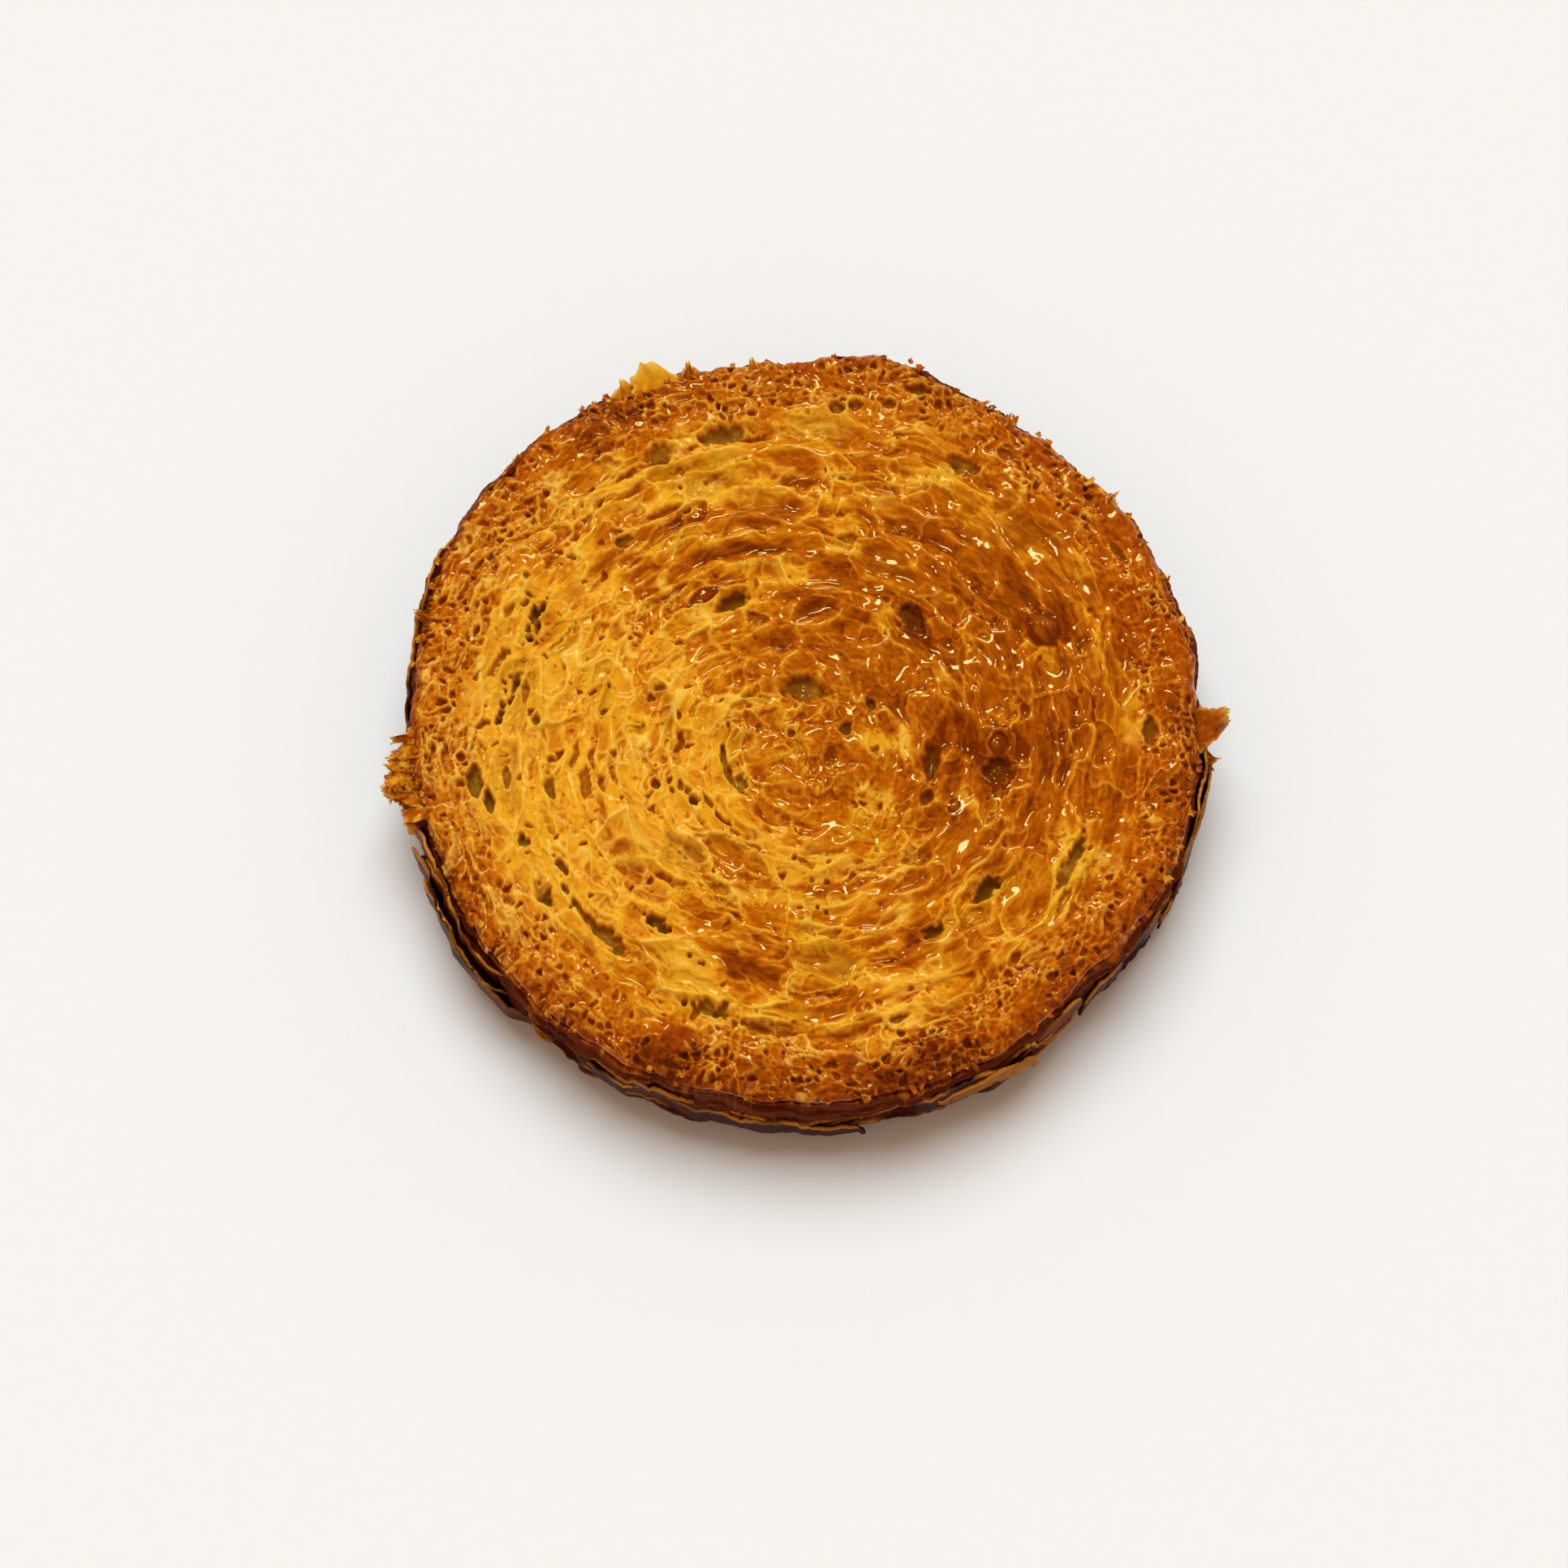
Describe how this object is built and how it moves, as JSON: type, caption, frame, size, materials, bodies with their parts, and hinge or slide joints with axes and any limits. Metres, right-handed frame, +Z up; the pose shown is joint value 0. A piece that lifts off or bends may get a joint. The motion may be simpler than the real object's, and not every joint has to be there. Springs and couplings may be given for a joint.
{
  "type": "caramelized croissant disc",
  "caption": "Thick round slice of rolled croissant dough, baked flat in sugar: spiral crumb, browned rim, dark peeling skins round its wall.",
  "frame": {"origin": "middle of the underside, where the disc rests", "axes": "+Z up through the disc, -Y towards the side of the wall with the long peeled skin, +X to the right seen from there"},
  "size_m": [0.1056, 0.1029, 0.0169],
  "materials": {
    "caramelized_crumb": "golden baked crumb, browner towards the rim, under a thin glossy coat of set caramel"
  },
  "bodies": {
    "root": {"croissant_disc": "caramelized_crumb"}
  },
  "joints": []
}
